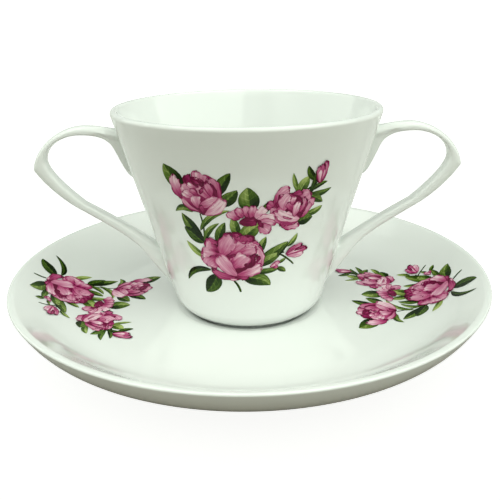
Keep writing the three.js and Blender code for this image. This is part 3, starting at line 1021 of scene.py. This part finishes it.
def bentPatch(graph):
    # where a unit patch's points go in the flat layout, and what the colours need to know of them
    unit = graph.separate(graph.held("unit", "FLOAT_VECTOR"))
    along = graph.clamp(0.5 - graph.function("COSINE", (unit.part("X") + 0.5) * math.pi) * 0.5)
    across = unit.part("Y") * 2.0
    side = graph.function("ABSOLUTE", across)
    ripple = mottle(graph, "ripple", along, across, graph.held("seed")) * graph.held("frilled")
    width = graph.held("spread") * along ** graph.held("low") * (1.0 - along) ** graph.held("high")
    width = width * (ripple * 4.0 * side + 1.0)

    base, tip = graph.held("base", "FLOAT_VECTOR"), graph.held("tip", "FLOAT_VECTOR")
    reach = tip - base
    ahead, length = graph.vector("NORMALIZE", reach), graph.vector("LENGTH", reach).part("Value")
    upright = Vector((0, 0, 1))
    left = graph.vector("CROSS_PRODUCT", upright, ahead)
    bow = graph.held("bow") * 4.0
    heading = graph.vector("NORMALIZE", ahead + left * (bow / length * (1.0 - along * 2.0)))
    beside = graph.vector("CROSS_PRODUCT", upright, heading)
    flat = base + reach * along + left * (bow * along * (1.0 - along))
    flat = flat + beside * (width * across) + heading * (ripple * length * along * printSizes["fray"])
    rim = graph.function("MINIMUM", width * (1.0 - side), (1.0 - along) * length)
    return flat, {"along": along, "across": across, "rim": rim / mm}


def printTree(name, place):
    # lays a unit patch on every point, bends it into its leaf or petal and drops it on the ware
    graph, given = newTree(name, {
        "Points": "Geometry", "Ware": "Object", "Rows Along": "Int", "Rows Across": "Int",
        "Lift": "Float", "Layer Lift": "Float", "Finish": "Material"}, "Print")
    grid = graph.add("GeometryNodeMeshGrid", {}, {
        "Size X": 1.0, "Size Y": 1.0, "Vertices X": given.part("Rows Along"),
        "Vertices Y": given.part("Rows Across")}, "Mesh")
    grid = graph.keep(grid, "unit", graph.add("GeometryNodeInputPosition"), "FLOAT_VECTOR")
    patches = graph.add("GeometryNodeInstanceOnPoints", {}, {"Points": given, "Instance": grid})
    made = graph.add("GeometryNodeRealizeInstances", {}, {"Geometry": patches})

    flat, shades = bentPatch(graph)
    source, ray = place(graph, flat)
    turn = graph.held("turn")

    def turned(vector):
        return graph.add("ShaderNodeVectorRotate", {"rotation_type": "Z_AXIS"},
                         {"Vector": vector, "Angle": turn})

    ware = graph.add("GeometryNodeObjectInfo", {"transform_space": "ORIGINAL"},
                     {"Object": given.part("Ware")}, "Geometry")
    normal = graph.add("GeometryNodeFieldOnDomain", {"data_type": "FLOAT_VECTOR", "domain": "POINT"},
                       {"Value": graph.add("GeometryNodeInputNormal")})
    hit = graph.add("GeometryNodeRaycast", {"data_type": "FLOAT_VECTOR"}, {
        "Target Geometry": ware, "Attribute": normal, "Source Position": turned(source),
        "Ray Direction": turned(ray), "Ray Length": spraySpots["rayLength"] * mm}, "Hit Position")
    lift = given.part("Lift") + graph.held("layer") * given.part("Layer Lift")
    for label, value in shades.items():
        made = graph.keep(made, label, value)
    made = graph.add("GeometryNodeSetPosition", {},
                     {"Geometry": made, "Position": hit + hit.part("Attribute") * lift})
    graph.settle(made, given.part("Finish"), "Print")
    return graph.tree


rosePrint = {
    "stops": [(0.0, linear(96, 4, 48)), (0.2, linear(136, 20, 78)), (0.45, linear(178, 70, 118)),
              (0.8, linear(212, 148, 174)), (1.0, linear(240, 212, 220))],
    "brush": 0.60,
    "wash": 0.48,
    "outline": 0.55,
    "outlineWidth": 0.34,
}
leafPrint = {
    "stops": [(0.0, linear(18, 34, 4)), (0.3, linear(42, 66, 12)), (0.6, linear(86, 112, 38)),
              (1.0, linear(168, 184, 106))],
    "brush": 0.52,
    "wash": 0.416,
    "outline": 0.16,
    "outlineWidth": 0.25,
    "rib": 0.36,               # one half is lighter than the other, and the midrib lighter than both
    "fold": 0.12,
    "midrib": (0.02, 0.14),
    "veins": 30.0,
    "veinSlant": 7.0,
    "veinEdge": 0.55,
    "veinTone": 0.2,
}


def printMaterial(name, look):
    # colours run from base to tip, with brush streaks along the petal and a darker drawn edge
    material, graph = newMaterial(name)
    along, across, seed = graph.painted("along"), graph.painted("across"), graph.painted("seed")
    toneBase, toneTip = graph.painted("toneBase"), graph.painted("toneTip")
    tone = toneBase + (toneTip - toneBase) * graph.smooth(along, *printSizes["toneRange"])
    for label in ("brush", "wash"):
        tone = tone + mottle(graph, label, along, across, seed) * look[label]
    edge = 1 - graph.smooth(graph.painted("rim"), 0.0, look["outlineWidth"])
    tone = tone - edge * look["outline"]
    if "rib" in look:
        aside = graph.function("ABSOLUTE", across)
        half = graph.smooth(across, -look["fold"], look["fold"]) - 0.5
        veins = graph.function("SINE", along * look["veins"] - aside * look["veinSlant"])
        veins = graph.smooth(veins, look["veinEdge"], 1.0) * (1 - aside) * look["veinTone"]
        midrib = (1 - graph.smooth(aside, *look["midrib"])) * (1 - along)
        tone = tone + half * look["rib"] + veins + midrib * look["rib"]
    colour = graph.add("ShaderNodeValToRGB", {"stops": look["stops"]}, {"Fac": graph.clamp(tone)}, "Color")
    finishSurface(graph, {
        "Base Color": colour,
        "Roughness": printSizes["roughness"],
        "Specular IOR Level": 0.0,
        "Coat Weight": printSizes["gloss"],
        "Coat Roughness": glazeFinish["coatRoughness"],
        "Coat IOR": glazeFinish["refraction"],
    })
    return material


def allPetals():
    # every flower's petals, from the middle of the spray
    petals = []
    for flower in flowerLayout.values():
        x, y = flower["centre"]
        deeper = flower.get("deeper", 0)
        for baseX, baseY, tipX, tipY, width, bow, toneBase, toneTip in flower["petals"]:
            petals.append((baseX + x, baseY + y, tipX + x, tipY + y, width, bow,
                           toneBase - deeper, toneTip - deeper))
    return petals


roseInk = printMaterial("rosePrint", rosePrint)
leafInk = printMaterial("leafPrint", leafPrint)

# in the order in which they are printed; shape says how fast each gets wider and narrower again
printKinds = {
    "Stems": {"patches": stemLayout, "shape": (0.10, 0.10), "frilled": 0.0, "ink": leafInk,
              "slot": "leaf_print"},
    "Leaves": {"patches": leafLayout, "shape": (0.62, 0.78), "frilled": 0.05, "ink": leafInk,
               "slot": "leaf_print"},
    "Roses": {"patches": allPetals(), "shape": (0.55, 0.34), "frilled": 0.36, "ink": roseInk,
              "slot": "rose_print"},
}


def makePrint(name, kind, spots, firstLayer, tree, ware):
    return applyTree(addObject(name, sprayPoints(name, kind, spots, firstLayer)), tree, {
        "Ware": ware,
        "Rows Along": printSizes["rowsAlong"],
        "Rows Across": printSizes["rowsAcross"],
        "Lift": printSizes["lift"] * mm,
        "Layer Lift": printSizes["layer"] * mm,
        "Finish": kind["ink"],
    })


for ware, body, place in ((cupBowl, "cup", aroundCup), (saucerDish, "saucer", overDish)):
    tree = printTree(body + "Print", place)
    firstLayer = 0
    for label, kind in printKinds.items():
        piece = makePrint(body + label, kind, spraySpots[body], firstLayer, tree, ware)
        firstLayer += len(kind["patches"])
        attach(piece, body)
print("stage: rose sprays")


# Studio: a pale floor and soft light from above and from both sides

studio = {
    "lightColour": (0.93, 1.0, 0.91),    # the photograph's faintly green light
    "floorColour": (0.80, 0.80, 0.80),
    "floorGlow": 0.84,                   # keeps the paper white and the shadows on it light
    "shadedTableFront": (0.162, 0.134, 0.094), # what lights the ware from below: painted shade in front, dark where the light from the front is blocked
    "tableBack": (0.62, 0.62, 0.60),     # and lighter behind
    "tableBlend": (-0.12, 0.06),         # metres from front to back over which one becomes the other
    "tableHeight": 0.00002,
    "floorRadius": 4.0,                  # metres
    "levelRadius": 0.7,                  # level this far out, then rising gently
    "edgeRise": 0.32,
    "skyLight": 0.01,                    # straight above
    "frontLight": 0.01,                  # low down, in front
    "backLight": 0.70,                   # low down, behind
    "lowBand": (0.25, 0.6),              # heights between which the low light fades, 1 is straight up
    "turnBand": (-0.5, 0.5),             # from front to back, over which it turns into the other
    # each lamp: watts per square metre, degrees across (how soft it is), degrees round from the
    # front to the right, degrees above the floor
    "lamps": {
        "overhead": (1.92, 90.0, 0.0, 70.0),
        "left": (1.5, 90.0, -79.0, 29.0),
        "right": (2.28, 90.0, 54.0, 26.0),
    },
}


def paper(name, height, setup):
    # level under the ware and curving up far behind it, like studio paper
    rings, steps = 40, 96
    points, faces = [(0, 0, height)], []
    for ring in range(1, rings + 1):
        radius = setup["floorRadius"] * ring / rings
        far = max(0, radius - setup["levelRadius"]) / (setup["floorRadius"] - setup["levelRadius"])
        rise = height + setup["edgeRise"] * far ** 2
        for step in range(steps):
            angle = 2 * math.pi * step / steps
            points.append((radius * math.cos(angle), radius * math.sin(angle), rise))
    for step in range(steps):
        after = (step + 1) % steps
        faces.append((0, 1 + step, 1 + after))
        for ring in range(rings - 1):
            inner, outer = 1 + ring * steps, 1 + (ring + 1) * steps
            faces.append((inner + step, outer + step, outer + after, inner + after))
    mesh = bpy.data.meshes.new(name)
    mesh.from_pydata(points, [], faces)
    mesh.polygons.foreach_set("use_smooth", [True] * len(faces))
    material, graph = newMaterial(name)
    mesh.materials.append(material)
    sheet = addObject(name, mesh)
    return sheet, graph


def makeFloor(setup):
    # the camera sees pale paper, and the glaze sees a hidden table sheet under the ware: its own colour
    # behind it, and painted shade in front of it, where it is dark
    matt = {"Roughness": 0.9, "Specular IOR Level": 0.1}
    floor, graph = paper("paleFloor", 0, setup)
    finishSurface(graph, {**matt, "Base Color": (*setup["floorColour"], 1), "Emission Color": white,
                          "Emission Strength": setup["floorGlow"]})
    floor.visible_diffuse = False
    floor.visible_glossy = False

    table, graph = paper("darkTable", setup["tableHeight"], setup)
    place = graph.add("ShaderNodeTexCoord", {}, {}, "Object")
    behind = graph.smooth(graph.separate(place).part("Y"), *setup["tableBlend"])
    # painted shade: the sheet's front is dark, so that little light reaches the ware from in front
    colour = graph.blend(behind, (*setup["shadedTableFront"], 1), (*setup["tableBack"], 1))
    finishSurface(graph, {**matt, "Base Color": colour})
    table.visible_camera = False
    table.visible_shadow = False


def makeLamps(setup):
    for name, (strength, spread, azimuth, elevation) in setup["lamps"].items():
        data = bpy.data.lights.new(name, "SUN")
        data.color = setup["lightColour"]
        data.energy = strength
        data.angle = math.radians(spread)
        item = bpy.data.objects.new(name, data)
        item.rotation_euler = (math.radians(90 - elevation), 0, math.radians(azimuth))
        bpy.context.scene.collection.objects.link(item)


def makeWorld(setup):
    world = bpy.data.worlds.new("studio")
    bpy.context.scene.world = world
    world.use_nodes = True
    tree = world.node_tree
    tree.nodes.clear()
    graph = Graph(tree)
    direction = graph.separate(graph.add("ShaderNodeTexCoord", {}, {}, "Generated"))
    behind = graph.smooth(direction.part("Y"), *setup["turnBand"])
    low = setup["frontLight"] + behind * (setup["backLight"] - setup["frontLight"])
    high = graph.smooth(direction.part("Z"), *setup["lowBand"])
    strength = low + high * (setup["skyLight"] - low)
    lit = graph.add("ShaderNodeBackground", {}, {"Color": (*setup["lightColour"], 1), "Strength": strength})
    seen = graph.add("ShaderNodeBackground", {}, {"Color": white, "Strength": 1.0})
    direct = graph.add("ShaderNodeLightPath", {}, {}, "Is Camera Ray")
    both = graph.add("ShaderNodeMixShader", {}, {0: direct, 1: lit, 2: seen})
    graph.add("ShaderNodeOutputWorld", {}, {"Surface": both})


makeFloor(studio)
makeWorld(studio)
makeLamps(studio)
bpy.context.scene.view_settings.view_transform = "Standard"
print("stage: studio")
